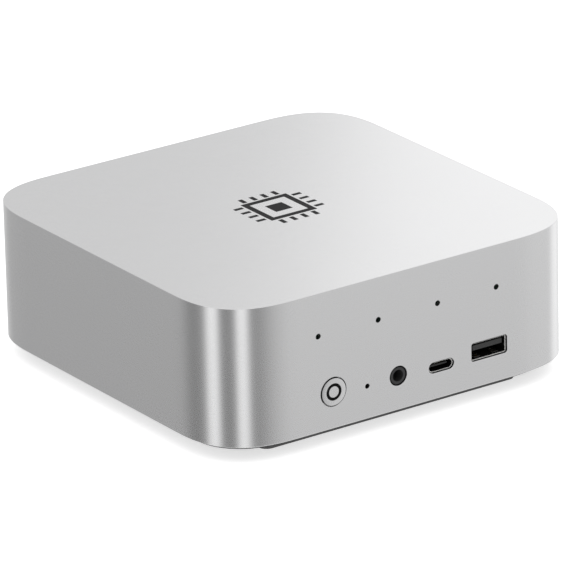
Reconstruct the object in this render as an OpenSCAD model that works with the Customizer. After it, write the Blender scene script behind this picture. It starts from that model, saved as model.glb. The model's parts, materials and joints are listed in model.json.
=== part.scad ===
// Small desktop computer: an aluminium shell over a plastic base, with a board, a cooler and its ports inside.
// Millimetres. The origin is under the middle of the body, on the plane that the feet stand on.
// +X is to the right along the front, the front faces -Y, and +Z is up.

/* [Body] */
// Width and depth of the square body
body_w = 135; // [134:0.5:137]
// Height of the aluminium shell
shell_h = 44.7; // [44.5:0.1:48]
// Thickness of the shell's sides and top
wall = 2; // [1.8:0.1:2.1]
// How far from a corner the side begins to curve
corner_reach = 27.8; // [27:0.1:28.5]
// Radius of the middle arc of a corner
corner_r = 18.8; // [17:0.1:20]

/* [Base] */
// Height of the feet under the shell's lower edge
foot_h = 5.2; // [4:0.1:6]
// Length of a foot strip
foot_len = 95; // [85:1:98]
// Width of a foot strip
foot_w = 10; // [8:0.5:10]
// How far a foot strip's outer side stands in from the body's side
foot_inset = 9; // [9:0.1:12]

/* [Front] */
// Radius of the power button's face
button_r = 4.38; // [4:0.01:4.4]
// How far the power button stands proud of the front
button_proud = 0.25; // [0:0.05:0.4]
// How far the power button travels
button_travel = 0.4; // [0.2:0.05:0.4]
// Distance between two microphone holes
mic_pitch = 22.1; // [20:0.1:22.2]
// Radius of a microphone hole
mic_r = 0.9; // [0.5:0.05:1]

/* [Cooling] */
// Width of the square fan frame
fan_w = 88; // [80:1:90]
// Number of fan blades
fan_blades = 9; // [7:1:11]
// Number of cooling fins
fin_count = 27; // [15:2:29]
// Number of exhaust slots in the rear wall
vent_count = 21; // [15:2:21]

/* [Hidden] */
$fn = 64;
eps = 0.02;                               // how far a cutting shape runs past the face it opens
gap = 0.15;                               // assembly clearance
half = body_w / 2;
front_y = -half;                          // the front face
rear_y = half;                            // the rear face
shell_z = foot_h;                         // the shell's lower edge
top_z = shell_z + shell_h;                // the top face
ceiling_z = top_z - wall;                 // underside of the top

// Corners are three tangent arcs, so that the curve starts softly
ease_angle = 10;
ease_r = (corner_reach - corner_r * (cos(ease_angle) - sin(ease_angle)))
       / (1 + sin(ease_angle) - cos(ease_angle));

// Base cover: a flange that closes the shell's edge, and a spigot inside it
flange_t = 0.9;
flange_inset = 1.7;
spigot_t = 1.5;
cover_floor_z = shell_z - flange_t;       // the cover's lower face
cover_top_z = shell_z + spigot_t;         // the cover's inner face
foot_bed = 0.8;                           // depth of the bed a foot strip sits in
foot_end_r = 3;
foot_y = half - foot_inset - foot_w / 2;  // middle line of a foot strip
intake_rows = 17;
intake_columns = 4;
intake_pitch_y = 4.2;
intake_pitch_x = 19;
intake_slot = [15, 2];
filter_size = [84, 76];
filter_t = 0.3;

// Screws
cover_screw_at = 53.2;                    // the cover screws sit at this X and Y
board_screw_x = 43;
board_screw_y = 48;
screw_r = 1.25;
screw_head_r = 2.4;
screw_head_t = 1.3;
pilot_gap = 0.05;

// Main board
board_t = 1.6;
board_top_z = shell_z + 8.2;
board_bottom_z = board_top_z - board_t;
board_half_x = 48;
board_half_y = 63.6;
post_r = 3.4;

// Power button
button_x = -28;
button_z = shell_z + 11.9;
button_gap = 0.27;
button_face_y = front_y - button_proud;
button_flange_r = 5.4;
button_flange_y = front_y + wall + 0.1;
button_flange_t = 0.8;
button_stem_r = 1.6;
button_stem_end = front_y + 5;
ring_outer_r = 2.7;
ring_inner_r = 1.84;
ring_depth = 1.2;
plunger_gap = 0.05;
switch_front_y = front_y + 6.2;
plunger_r = 1;
plunger_fit = 0.05;

// Reset switch behind its pin hole
reset_x = -15.5;
reset_z = shell_z + 10.55;
reset_hole_r = 0.8;
reset_travel = 0.25;
reset_plunger_r = 0.7;
reset_front_y = front_y + 5.2;

// Microphones
mic_z = shell_z + 30.95;
mic_board_y = front_y + wall + 0.9;
mic_board_t = 0.8;
mic_cable_x = 20.2;

// Front sockets
jack_x = -3.97;
jack_z = shell_z + 11.05;
jack_hole_r = 3.2;
jack_nose_r = 3.08;
jack_recess = 0.2;                        // how far its nose sits behind the front face
jack_bore_r = 1.8;
jack_len = 14;
front_c_x = 12.17;
usb_c_z = shell_z + 10.3;
front_a_x = 30.27;
usb_a_z = shell_z + 11.6;
usb_c_cut = [9.45, 3.6];
usb_c_shell = [8.94, 3.26];
usb_c_len = 7.3;
usb_a_cut = [13.5, 6.05];
usb_a_cut_r = 0.85;
usb_a_shell = [13.1, 5.6];
usb_a_len = 14;
can_t = 0.3;                              // sheet metal of the socket cans
socket_recess = 0.6;                      // how far a socket's mouth sits behind the outer face

// Rear sockets
dc_x = 38.5;
dc_z = shell_z + 14;
dc_body = [9, 12, 11];
dc_bore_r = 3.2;
dc_pin_r = 1.25;
stack_x = 25.2;
stack_body = [14.2, 15, 15.4];
lan_x = 8.6;
lan_body = [16, 15, 13.4];
lan_mouth = [11.7, 8];
hdmi_x = -8.6;
hdmi_shell = [15, 5.6];
dp_x = -26;
dp_shell = [16.6, 5.4];
rear_c_x = -40.2;
video_z = shell_z + 11.6;
video_len = 11;
rear_face = rear_y - socket_recess;       // mouth plane of the rear sockets

// Exhaust slots
vent_pitch = 4;
vent_slot = [2, 10.5];
vent_z = shell_z + 34.3;

// Processor and cooler
cpu_at = [0, 4];
cpu_size = [38, 25, 1.9];
chamber_size = [86, 84, 3];
chamber_y = 0;
chamber_z = board_top_z + cpu_size[2] + gap;
chamber_boss_t = 0.6;
fin_t = 0.5;
fin_pitch = 3.1;
fin_size_y = 84;
fin_z = chamber_z + chamber_boss_t + chamber_size[2];
fin_h = 11.8;
fan_z = fin_z + fin_h + 0.2;
fan_t = 11;
fan_y = 0;
fan_duct_r = fan_w / 2 - 2;
fan_corner = fan_w / 2 - 4.5;
fan_plate_t = 1.4;
hub_r = 15;
blade_reach = fan_duct_r - 1;
blade_t = 1.1;
blade_tilt = 38;
shaft_r = 1.5;
bearing_r = 3.2;
shaft_fit = 0.03;
rotor_z = fan_z + fan_plate_t + 0.8;
rotor_h = 8;

// Solid-state drives under the board
ssd_size = [22, 80, 0.8];
ssd_x = 15;
ssd_y0 = -44;
ssd_z = board_bottom_z - 2.2;
ssd_chip_t = 1.2;
ssd_plate_t = 0.7;
ssd_plate_z = ssd_z - ssd_chip_t - ssd_plate_t - eps;

// ---------- shared shapes ----------

// The waste outside an arc, between two angles
module arc_waste(centre, r, from, to) difference() {
    polygon([for (p = [[0.9, from], [2.5, from], [2.5, to], [0.9, to]])
        centre + p[0] * r * [cos(p[1]), sin(p[1])]]);
    translate(centre) circle(r);
}

// The body's outline in plan, moved inwards by inset
module outline(inset = 0) difference() {
    straight = half - corner_reach;
    middle = half - ease_r + (ease_r - corner_r) * cos(ease_angle);
    square(2 * (half - inset), center = true);
    for (k = [0:3]) rotate(-90 * k) {
        arc_waste([straight, half - ease_r], ease_r - inset, 90, 60);
        arc_waste([middle, middle], corner_r - inset, 90 - ease_angle, ease_angle);
        arc_waste([half - ease_r, straight], ease_r - inset, 30, 0);
    }
}

// Rectangle with round corners, centred
module round_rect(size, r) {
    square([size[0] - 2 * r, size[1]], center = true);
    square([size[0], size[1] - 2 * r], center = true);
    for (sx = [-1, 1], sy = [-1, 1]) translate([sx * (size[0] / 2 - r), sy * (size[1] / 2 - r)]) circle(r);
}

// A slot with round ends, centred, its length along X
module stadium(size) {
    r = size[1] / 2;
    square([size[0] - size[1], size[1]], center = true);
    for (s = [-1, 1]) translate([s * (size[0] / 2 - r), 0]) circle(r);
}

// Box centred in X and Y, standing on Z = 0
module block(size) {
    translate([-size[0] / 2, -size[1] / 2, 0]) cube(size);
}

// Stands a plan shape upright so that it runs along +Y for len, from plane y
module along_y(x, y, z, len) {
    translate([x, y, z]) rotate([90, 0, 0]) translate([0, 0, -len]) linear_extrude(len) children();
}

// Copies at the four points [+-x, +-y]
module four(x, y) {
    for (sx = [-1, 1], sy = [-1, 1]) translate([sx * x, sy * y, 0]) children();
}

// Pan-head screw pointing up, its head's lower face at Z = 0
module screw(len, head_r = screw_head_r, r = screw_r) {
    difference() {
        union() {
            cylinder(r = head_r, h = screw_head_t);
            translate([0, 0, screw_head_t]) cylinder(r = r, h = len);
        }
        for (a = [0, 90]) rotate(a) translate([-head_r * 0.55, -0.25, -eps]) cube([head_r * 1.1, 0.5, 0.7]);
    }
}

// ---------- enclosure ----------

// Every opening that goes through the front wall
module front_openings() {
    y = front_y - 1;
    depth = wall + 2;
    along_y(button_x, y, button_z, depth) circle(button_r + button_gap);
    along_y(reset_x, y, reset_z, depth) circle(reset_hole_r);
    for (k = [-1.5:1.5]) along_y(k * mic_pitch, y, mic_z, depth) circle(mic_r);
    along_y(jack_x, y, jack_z, depth) circle(jack_hole_r);
    along_y(front_c_x, y, usb_c_z, depth) stadium(usb_c_cut);
    along_y(front_a_x, y, usb_a_z, depth) round_rect(usb_a_cut, usb_a_cut_r);
}

// Every opening that goes through the rear wall
module rear_openings() {
    y = rear_y - wall - 1;
    depth = wall + 2;
    along_y(dc_x, y, dc_z, depth) circle(dc_bore_r + 0.6);
    along_y(stack_x, y, board_top_z + stack_body[2] / 2 + 0.2, depth)
        round_rect([stack_body[0] + 0.6, stack_body[2] + 0.6], 0.6);
    along_y(lan_x, y, board_top_z + lan_body[2] / 2 + 0.1, depth)
        round_rect([lan_body[0] + 0.6, lan_body[2] + 0.6], 0.6);
    along_y(hdmi_x, y, video_z, depth) round_rect([hdmi_shell[0] + 0.7, hdmi_shell[1] + 0.7], 0.9);
    along_y(dp_x, y, video_z, depth) round_rect([dp_shell[0] + 0.7, dp_shell[1] + 0.7], 0.9);
    along_y(rear_c_x, y, usb_c_z, depth) stadium(usb_c_cut);
    for (k = [0:vent_count - 1])
        along_y((k - (vent_count - 1) / 2) * vent_pitch, y, vent_z, depth)
            rotate(90) stadium([vent_slot[1], vent_slot[0]]);
}

module outer_shell() color("silver") difference() {
    translate([0, 0, shell_z]) linear_extrude(shell_h) outline();
    translate([0, 0, shell_z - 1]) linear_extrude(shell_h - wall + 1) outline(wall);
    front_openings();
    rear_openings();
    translate([0, 0, top_z - emblem_t]) linear_extrude(1) emblem_shape(0.05);
}

// A generic chip pictogram: a square frame, a core and rows of pins
emblem_w = 17;
emblem_line = 2;
emblem_pin = [1.5, 3.2];
emblem_pins = 4;
emblem_t = 0.3;
module emblem_shape(grow = 0) {
    difference() {
        square(emblem_w + 2 * grow, center = true);
        square(emblem_w - 2 * emblem_line - 2 * grow, center = true);
    }
    square(emblem_w * 0.36 + 2 * grow, center = true);
    for (a = [0:90:270], k = [0:emblem_pins - 1]) rotate(a)
        translate([(k - (emblem_pins - 1) / 2) * emblem_w / (emblem_pins + 0.2),
                   emblem_w / 2 + 0.8 + emblem_pin[1] / 2])
            square([emblem_pin[0] + 2 * grow, emblem_pin[1] + 2 * grow], center = true);
}

module top_emblem() color([0.06, 0.06, 0.06])
    translate([0, 0, top_z - emblem_t + eps]) linear_extrude(emblem_t - eps) emblem_shape();

// Glued under the top: a ring with the posts that carry the board and the base cover
frame_ring_t = 1.6;
frame_opening = 112;
module inner_frame() color([0.1, 0.1, 0.11]) {
    ring_z = ceiling_z - frame_ring_t;
    difference() {
        translate([0, 0, ring_z]) linear_extrude(frame_ring_t - eps) outline(wall + gap);
        translate([0, 0, ring_z - 1]) linear_extrude(frame_ring_t + 2)
            round_rect([frame_opening, frame_opening], 20);
    }
    // board posts reach the ring with a bar each
    for (sx = [-1, 1], sy = [-1, 1]) scale_xy(sx, sy) {
        post(board_screw_x, board_screw_y, board_top_z, ring_z + frame_ring_t - eps);
        translate([board_screw_x - 2, board_screw_y, ring_z]) cube([4, 12, frame_ring_t - eps]);
        post(cover_screw_at, cover_screw_at, cover_top_z, ring_z + frame_ring_t - eps);
    }
    // brackets that hold the microphone board's ends
    for (s = [-1, 1]) translate([s * (mic_pitch * 1.5 + 6.5), mic_board_y + mic_board_t + eps, mic_z - 3])
        translate([-1.5, 0, 0]) cube([3, 2, ring_z - mic_z + 3 + 0.1]);
}

module scale_xy(sx, sy) {
    mirror([sx < 0 ? 1 : 0, 0, 0]) mirror([0, sy < 0 ? 1 : 0, 0]) children();
}

// A round post with a pilot hole in its lower end
module post(x, y, z0, z1) translate([x, y, 0]) difference() {
    translate([0, 0, z0]) cylinder(r = post_r, h = z1 - z0);
    translate([0, 0, z0 - 1]) cylinder(r = screw_r + pilot_gap, h = 9);
}

module foot_shape(grow = 0) {
    round_rect([foot_len + 2 * grow, foot_w + 2 * grow], foot_end_r + grow);
}

module bottom_cover() color([0.16, 0.16, 0.17]) difference() {
    union() {
        translate([0, 0, cover_floor_z]) linear_extrude(flange_t - eps) outline(flange_inset);
        translate([0, 0, cover_floor_z]) linear_extrude(flange_t + spigot_t) outline(wall + gap);
    }
    for (s = [-1, 1]) translate([0, s * foot_y, cover_floor_z - 1])
        linear_extrude(foot_bed + 1) foot_shape(0.1);
    for (i = [0:intake_columns - 1], j = [0:intake_rows - 1])
        translate([(i - (intake_columns - 1) / 2) * intake_pitch_x,
                   (j - (intake_rows - 1) / 2) * intake_pitch_y, cover_floor_z - 1])
            linear_extrude(flange_t + spigot_t + 2) stadium(intake_slot);
    four(cover_screw_at, cover_screw_at) {
        translate([0, 0, cover_floor_z - 1]) cylinder(r = screw_r + 0.2, h = 5);
        translate([0, 0, cover_floor_z - 1]) cylinder(r = screw_head_r + 0.3, h = screw_head_t + 1.12);
    }
}

module cover_screws() color([0.08, 0.08, 0.09]) four(cover_screw_at, cover_screw_at)
    translate([0, 0, cover_floor_z + 0.1]) screw(6);

module foot_strip(y) translate([0, y, 0])
    linear_extrude(cover_floor_z + foot_bed - eps) foot_shape();
module front_foot_strip() color([0.13, 0.13, 0.13]) foot_strip(-foot_y);
module rear_foot_strip() color([0.13, 0.13, 0.13]) foot_strip(foot_y);

module dust_filter() color([0.2, 0.2, 0.2])
    translate([0, 0, cover_top_z + eps]) linear_extrude(filter_t) round_rect(filter_size, 4);

// ---------- power button and front switches ----------

module power_button() color("silver") difference() {
    union() {
        along_y(button_x, button_face_y, button_z, button_flange_y + eps - button_face_y) circle(button_r);
        along_y(button_x, button_flange_y, button_z, button_flange_t) circle(button_flange_r);
        along_y(button_x, button_flange_y, button_z, button_stem_end - button_flange_y) circle(button_stem_r);
    }
    along_y(button_x, button_face_y - 1, button_z, ring_depth + 1) difference() {
        circle(ring_outer_r);
        circle(ring_inner_r);
    }
}

module power_light_ring() color([0.05, 0.05, 0.05])
    along_y(button_x, button_face_y, button_z, ring_depth - eps) difference() {
        circle(ring_outer_r - 0.01);
        circle(ring_inner_r + 0.01);
    }

// Bracket behind the button, standing on the board, that guides the stem
guide_t = 1.2;
guide_y = button_flange_y + button_flange_t + button_travel + 0.2;
module button_guide() color([0.1, 0.1, 0.11]) difference() {
    translate([button_x - 5.5, guide_y, board_top_z + eps]) cube([11, guide_t, 8.3]);
    along_y(button_x, guide_y - 1, button_z, guide_t + 2) circle(button_stem_r + 0.08);
}

// A side-actuated push switch standing on the board, with a hole for its plunger
module side_switch(x, z, y, size, hole_r, hole_depth) difference() {
    translate([x - size[0] / 2, y, board_top_z + eps]) cube(size);
    along_y(x, y - 1, z, hole_depth + 1) circle(hole_r);
}

module power_switch() color([0.12, 0.12, 0.13])
    side_switch(button_x, button_z, switch_front_y, [6, 3.6, 6.2], plunger_r + plunger_fit, 1.6);
module power_switch_plunger() color("ivory")
    along_y(button_x, button_stem_end + plunger_gap, button_z, 1.9) circle(plunger_r);
module reset_switch() color([0.12, 0.12, 0.13])
    side_switch(reset_x, reset_z, reset_front_y, [4.6, 3.4, 4], reset_plunger_r + plunger_fit, 1.4);
module reset_switch_plunger() color("ivory")
    along_y(reset_x, reset_front_y - 1.1, reset_z, 2) circle(reset_plunger_r);

module mic_board() color([0.05, 0.16, 0.1]) {
    difference() {
        translate([-mic_pitch * 1.5 - 8, mic_board_y, mic_z - 3]) cube([mic_pitch * 3 + 16, mic_board_t, 6]);
        for (k = [-1.5:1.5]) along_y(k * mic_pitch, mic_board_y - 1, mic_z, mic_board_t + 2) circle(0.4);
    }
    for (k = [-1.5:1.5]) translate([k * mic_pitch - 1.9, mic_board_y + mic_board_t - eps, mic_z - 1.4])
        cube([3.8, 1.1, 2.8]);
    // flat cable down to its connector on the main board
    translate([mic_cable_x - 2.5, mic_board_y + mic_board_t - eps, board_top_z + 0.6])
        cube([5, 0.4, mic_z - board_top_z - 1]);
    translate([mic_cable_x - 3.2, mic_board_y + mic_board_t + 0.3, board_top_z + eps]) cube([6.4, 2.6, 1.2]);
}

module mic_seals() color([0.08, 0.08, 0.08]) for (k = [-1.5:1.5])
    along_y(k * mic_pitch, front_y + wall + eps, mic_z, mic_board_y - front_y - wall - 2 * eps) difference() {
        circle(2.4);
        circle(mic_r + 0.1);
    }

// ---------- sockets ----------
// Each one is drawn with its mouth on Y = 0 and runs along +Y, on a point at the middle of the mouth.

module place_front(x, z) translate([x, front_y + socket_recess, z]) children();
module place_rear(x, z) translate([x, rear_face, z]) rotate(180) children();

// Foot between a socket and the board
module pedestal(w, z, y0, len) {
    translate([-w / 2, y0, board_top_z + eps - z]) cube([w, len, z - board_top_z]);
}

module usb_c_can(z) {
    along_y(0, 0, 0, usb_c_len) difference() {
        stadium(usb_c_shell);
        stadium([usb_c_shell[0] - 2 * can_t, usb_c_shell[1] - 2 * can_t]);
    }
    along_y(0, usb_c_len - eps, 0, 0.8) stadium(usb_c_shell);
    difference() {
        pedestal(7, z, 1.5, usb_c_len - 0.7);
        along_y(0, 0, 0, usb_c_len + 2) stadium(usb_c_shell);
    }
}
module usb_c_tongue() along_y(0, 1.1, 0, usb_c_len - 1.1 - 2 * eps) square([6.6, 0.7], center = true);

module usb_a_can(z) {
    along_y(0, 0, 0, usb_a_len) difference() {
        round_rect(usb_a_shell, 0.5);
        square([usb_a_shell[0] - 2 * can_t, usb_a_shell[1] - 2 * can_t], center = true);
    }
    along_y(0, usb_a_len - eps, 0, 0.6) square([usb_a_shell[0] - 1, usb_a_shell[1] - 0.2], center = true);
    difference() {
        pedestal(11, z, 2, usb_a_len - 2.5);
        along_y(0, 0, 0, usb_a_len + 2) square([usb_a_shell[0] - 0.1, usb_a_shell[1] - 0.1], center = true);
    }
}
// The tongue hangs from an insulating block at the back of the can
module usb_a_tongue() {
    inner = usb_a_shell[1] - 2 * can_t;
    translate([-5.6, 0.6, 0.05]) cube([11.2, usb_a_len - 2.7, 1.75]);
    translate([-6.1, usb_a_len - 2.2, -inner / 2 + eps]) cube([12.2, 2.1, inner - 2 * eps]);
}

module front_usb_c_shell() color([0.75, 0.75, 0.76]) place_front(front_c_x, usb_c_z) usb_c_can(usb_c_z);
module front_usb_c_tongue() color([0.07, 0.07, 0.07]) place_front(front_c_x, usb_c_z) usb_c_tongue();
module rear_usb_c_shell() color([0.75, 0.75, 0.76]) place_rear(rear_c_x, usb_c_z) usb_c_can(usb_c_z);
module rear_usb_c_tongue() color([0.07, 0.07, 0.07]) place_rear(rear_c_x, usb_c_z) usb_c_tongue();
module front_usb_a_shell() color([0.75, 0.75, 0.76]) place_front(front_a_x, usb_a_z) usb_a_can(usb_a_z);
module front_usb_a_tongue() color([0.1, 0.1, 0.1]) place_front(front_a_x, usb_a_z) usb_a_tongue();

module front_audio_jack() color([0.06, 0.06, 0.06]) translate([jack_x, 0, jack_z]) difference() {
    union() {
        along_y(0, front_y + jack_recess, 0, 2.6 - jack_recess) circle(jack_nose_r);
        translate([-3, front_y + wall + 0.2, -2.8]) cube([6, jack_len - wall + 0.4, 5.6]);
    }
    along_y(0, front_y - 1, 0, jack_len + 1.2) circle(jack_bore_r);
    translate([-2.6, front_y + 6, -1.1]) cube([0.6, 7, 2.2]);
    translate([2, front_y + 6, -1.1]) cube([0.6, 7, 2.2]);
}
module audio_jack_contacts() color([0.78, 0.62, 0.3]) for (s = [-1, 1])
    translate([jack_x + s * 2.3 - 0.2, front_y + 6.4, jack_z - 0.9]) cube([0.4, 6, 1.8]);

module dc_jack() color([0.07, 0.07, 0.07]) translate([dc_x, rear_face, dc_z]) rotate(180) difference() {
    nose = wall - socket_recess + 0.1;
    union() {
        translate([-dc_body[0] / 2, nose, board_top_z + eps - dc_z]) cube(dc_body);
        along_y(0, 0, 0, nose + 1) circle(dc_bore_r + 0.45);
    }
    along_y(0, -1, 0, 11) circle(dc_bore_r);
}
module dc_jack_pin() color([0.8, 0.8, 0.78]) translate([dc_x, rear_face, dc_z]) rotate(180)
    along_y(0, 0.8, 0, 9.2 - eps) circle(dc_pin_r);

stack_mouths = [4.1, 11.7];               // heights of the two mouths above the board
module rear_usb_stack_shell() color([0.75, 0.75, 0.76])
    translate([stack_x, rear_face, board_top_z + eps]) rotate(180) difference() {
        translate([-stack_body[0] / 2, 0, 0]) cube(stack_body);
        for (h = stack_mouths) translate([-6.25, -1, h - 2.5]) cube([12.5, stack_body[1] - 1, 5]);
    }
module rear_usb_stack_tongues() color([0.85, 0.85, 0.83])
    translate([stack_x, rear_face, board_top_z + eps]) rotate(180) for (h = stack_mouths) {
        translate([-5.6, 0.6, h + 0.1]) cube([11.2, 11.2, 1.75]);
        translate([-6.2, 11.6, h - 2.5 + eps]) cube([12.4, 1.4 - eps, 5 - 2 * eps]);
    }

module lan_jack() color([0.75, 0.75, 0.76]) translate([lan_x, rear_face, board_top_z + eps]) rotate(180)
    difference() {
        translate([-lan_body[0] / 2, 0, 0]) cube(lan_body);
        translate([-lan_mouth[0] / 2, -1, 1.6]) cube([lan_mouth[0], 13, lan_mouth[1]]);
        translate([-3.1, -1, 1.6 + lan_mouth[1] - eps]) cube([6.2, 8, 1.7]);
        translate([-1.6, -1, 1.6 + lan_mouth[1] + 1.6]) cube([3.2, 8, 1.1]);
    }
module lan_jack_contacts() color([0.85, 0.68, 0.3]) translate([lan_x, rear_face, board_top_z + eps]) rotate(180)
    for (k = [-3.5:3.5]) translate([k * 1.02 - 0.2, 3, 0]) {
        translate([0, 0, 1.6 + eps]) cube([0.4, 8.9, 0.3]);
        translate([0, 4.6, 1.6 + eps]) rotate([22, 0, 0]) cube([0.4, 4.4, 0.35]);
    }

// D-shaped mouth with its two lower corners cut off
module hdmi_outline(grow = 0) {
    w = hdmi_shell[0] / 2 + grow;
    h = hdmi_shell[1] / 2 + grow;
    polygon([[-w, h], [w, h], [w, -h + 2.2], [w - 2, -h], [-w + 2, -h], [-w, -h + 2.2]]);
}
module hdmi_shell() color([0.75, 0.75, 0.76]) place_rear(hdmi_x, video_z) {
    along_y(0, 0, 0, video_len) difference() {
        hdmi_outline();
        hdmi_outline(-can_t);
    }
    along_y(0, video_len - eps, 0, 0.6) hdmi_outline();
    difference() {
        pedestal(9, video_z, 3, video_len - 3);
        along_y(0, 0, 0, video_len + 1) hdmi_outline(-eps);
    }
}
module hdmi_tongue() color([0.08, 0.08, 0.08]) place_rear(hdmi_x, video_z)
    along_y(0, 1.2, 0.2, video_len - 1.2 - 2 * eps) square([11.2, 1.4], center = true);

// Rectangular mouth with one lower corner cut off
module displayport_outline(grow = 0) {
    w = dp_shell[0] / 2 + grow;
    h = dp_shell[1] / 2 + grow;
    polygon([[-w, h], [w, h], [w, -h], [-w + 2.2, -h], [-w, -h + 2.2]]);
}
module displayport_shell() color([0.75, 0.75, 0.76]) place_rear(dp_x, video_z) {
    along_y(0, 0, 0, video_len) difference() {
        displayport_outline();
        displayport_outline(-can_t);
    }
    along_y(0, video_len - eps, 0, 0.6) displayport_outline();
    difference() {
        pedestal(10, video_z, 3, video_len - 3);
        along_y(0, 0, 0, video_len + 1) displayport_outline(-eps);
    }
}
module displayport_tongue() color([0.08, 0.08, 0.08]) place_rear(dp_x, video_z)
    along_y(0, 1.2, 0, video_len - 1.2 - 2 * eps) square([12.6, 1.7], center = true);

// ---------- board ----------

module main_board() color([0.04, 0.12, 0.1]) difference() {
    translate([0, 0, board_bottom_z]) linear_extrude(board_t)
        round_rect([2 * board_half_x, 2 * board_half_y], 3);
    four(board_screw_x, board_screw_y) translate([0, 0, board_bottom_z - 1]) cylinder(r = screw_r + 0.3, h = 4);
    four(cooler_screw[0], cooler_screw[1]) translate([0, 0, board_bottom_z - 1]) cylinder(r = screw_r + 0.3, h = 4);
}
module board_screws() color([0.7, 0.7, 0.7]) four(board_screw_x, board_screw_y)
    translate([0, 0, board_bottom_z - screw_head_t - eps]) screw(6);

module processor() color([0.1, 0.25, 0.15]) translate([cpu_at[0], cpu_at[1], board_top_z + eps]) {
    block([cpu_size[0], cpu_size[1], 1.1]);
    block([20, 12, cpu_size[2]]);
}
module memory_chips() color([0.09, 0.09, 0.1]) for (s = [-1, 1], k = [-1, 1])
    translate([s * 29, cpu_at[1] + k * 7.5, board_top_z + eps]) block([12.4, 14, 1]);
module power_inductors() color([0.22, 0.22, 0.23]) for (k = [-3:3])
    translate([k * 9.5, -28, board_top_z + eps]) block([7, 7, 1.6]);
module coin_cell() color([0.78, 0.78, 0.78]) translate([-20, -49, board_top_z + eps]) {
    cylinder(r = 6.2, h = 2.4);
    translate([0, 0, 2.4 - eps]) cylinder(r = 5.2, h = 0.5);
}

// ---------- cooler ----------

cooler_screw = [34, 30];
module vapor_chamber() color([0.72, 0.45, 0.3]) difference() {
    translate([0, chamber_y, 0]) {
        translate([0, 0, chamber_z + chamber_boss_t]) linear_extrude(chamber_size[2])
            round_rect([chamber_size[0], chamber_size[1]], 5);
        translate([cpu_at[0], cpu_at[1], chamber_z]) block([32, 20, chamber_boss_t + 1]);
    }
    four(cooler_screw[0], cooler_screw[1]) translate([0, 0, chamber_z - 1])
        cylinder(r = screw_r + pilot_gap, h = chamber_boss_t + 3.4);
}
module fin_stack() color([0.8, 0.8, 0.8]) {
    for (k = [0:fin_count - 1]) translate([(k - (fin_count - 1) / 2) * fin_pitch - fin_t / 2,
                                           chamber_y - fin_size_y / 2, fin_z + eps])
        cube([fin_t, fin_size_y, fin_h]);
    translate([0, chamber_y, fin_z + eps]) block([(fin_count - 1) * fin_pitch + fin_t, fin_size_y, 0.4]);
}
module cooler_screws() color([0.7, 0.7, 0.7]) four(cooler_screw[0], cooler_screw[1])
    translate([0, 0, board_bottom_z - screw_head_t - eps]) screw(board_t + 4.2);

module fan_frame() color([0.07, 0.07, 0.08]) translate([0, fan_y, fan_z]) {
    difference() {
        linear_extrude(fan_t) round_rect([fan_w, fan_w], 5);
        translate([0, 0, -1]) cylinder(r = fan_duct_r, h = fan_t + 2);
        four(fan_corner, fan_corner) translate([0, 0, -1]) cylinder(r = screw_r + pilot_gap, h = fan_t + 2);
    }
    difference() {
        union() {
            cylinder(r = hub_r - 1, h = fan_plate_t);
            cylinder(r = bearing_r + 1.4, h = fan_plate_t + 5);
            for (a = [45:90:315]) rotate(a) translate([hub_r - 3, -1.6, 0])
                cube([fan_duct_r - hub_r + 4, 3.2, fan_plate_t]);
        }
        translate([0, 0, 0.6]) cylinder(r = bearing_r, h = fan_plate_t + 6);
    }
}
module fan_bearing() color([0.72, 0.55, 0.3]) translate([0, fan_y, fan_z + 0.6 + eps]) difference() {
    cylinder(r = bearing_r - 0.01, h = fan_plate_t + 4);
    translate([0, 0, -1]) cylinder(r = shaft_r + shaft_fit, h = fan_plate_t + 6);
}
// Iron core with four wound poles, pushed on to the bearing tube
stator_h = 4.4;
module fan_stator() color([0.7, 0.4, 0.22]) translate([0, fan_y, fan_z + fan_plate_t + 0.3]) difference() {
    union() {
        cylinder(r = 7, h = stator_h);
        for (a = [0:90:270]) rotate(a) {
            translate([6, -2.6, 0.5]) cube([5, 5.2, stator_h - 1]);
            intersection() {
                cylinder(r = 12.6, h = stator_h);
                translate([10.6, -5, 0]) cube([3, 10, stator_h]);
            }
        }
    }
    translate([0, 0, -1]) cylinder(r = bearing_r + 1.4 + 0.03, h = stator_h + 2);
}
module fan_shaft() color([0.8, 0.8, 0.82]) translate([0, fan_y, fan_z + 0.7])
    cylinder(r = shaft_r, h = rotor_z + rotor_h - 1.2 - fan_z - 0.7 - eps);

module fan_blade() intersection() {
    translate([hub_r - 1.5, 0, rotor_h / 2]) rotate([blade_tilt, 0, 0])
        translate([0, -rotor_h, -blade_t / 2]) cube([blade_reach - hub_r + 3, 2 * rotor_h, blade_t]);
    difference() {
        translate([0, 0, 0.4]) cylinder(r = blade_reach, h = rotor_h - 0.8);
        translate([0, 0, -1]) cylinder(r = hub_r - 1, h = rotor_h + 2);
    }
}
module fan_rotor() color([0.09, 0.09, 0.1]) translate([0, fan_y, rotor_z]) {
    difference() {
        cylinder(r = hub_r, h = rotor_h);
        translate([0, 0, -1]) cylinder(r = hub_r - 1.2, h = rotor_h);
    }
    difference() {
        translate([0, 0, rotor_h - 2.4]) cylinder(r = shaft_r + 2, h = 2);
        translate([0, 0, -1]) cylinder(r = shaft_r, h = rotor_h - 0.2);
    }
    for (k = [0:fan_blades - 1]) rotate(k * 360 / fan_blades) fan_blade();
}
module fan_screws() color([0.1, 0.1, 0.1]) translate([0, fan_y, 0]) four(fan_corner, fan_corner)
    translate([0, 0, fan_z + fan_t + screw_head_t + eps]) rotate([180, 0, 0]) screw(fan_t - 1);

// Four fan wires as one flat ribbon that drops from the frame to the board beside the cooler
module fan_lead() color([0.08, 0.08, 0.08]) {
    x = fan_w / 2 + 0.1;
    translate([x, -8, board_top_z + 1.8]) cube([0.8, 5, fan_z + 2 - board_top_z - 1.8]);
    translate([x - 0.1, -8, board_top_z + eps]) cube([3, 5, 1.8]);
}

// ---------- drives, radio and speakers ----------

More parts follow.
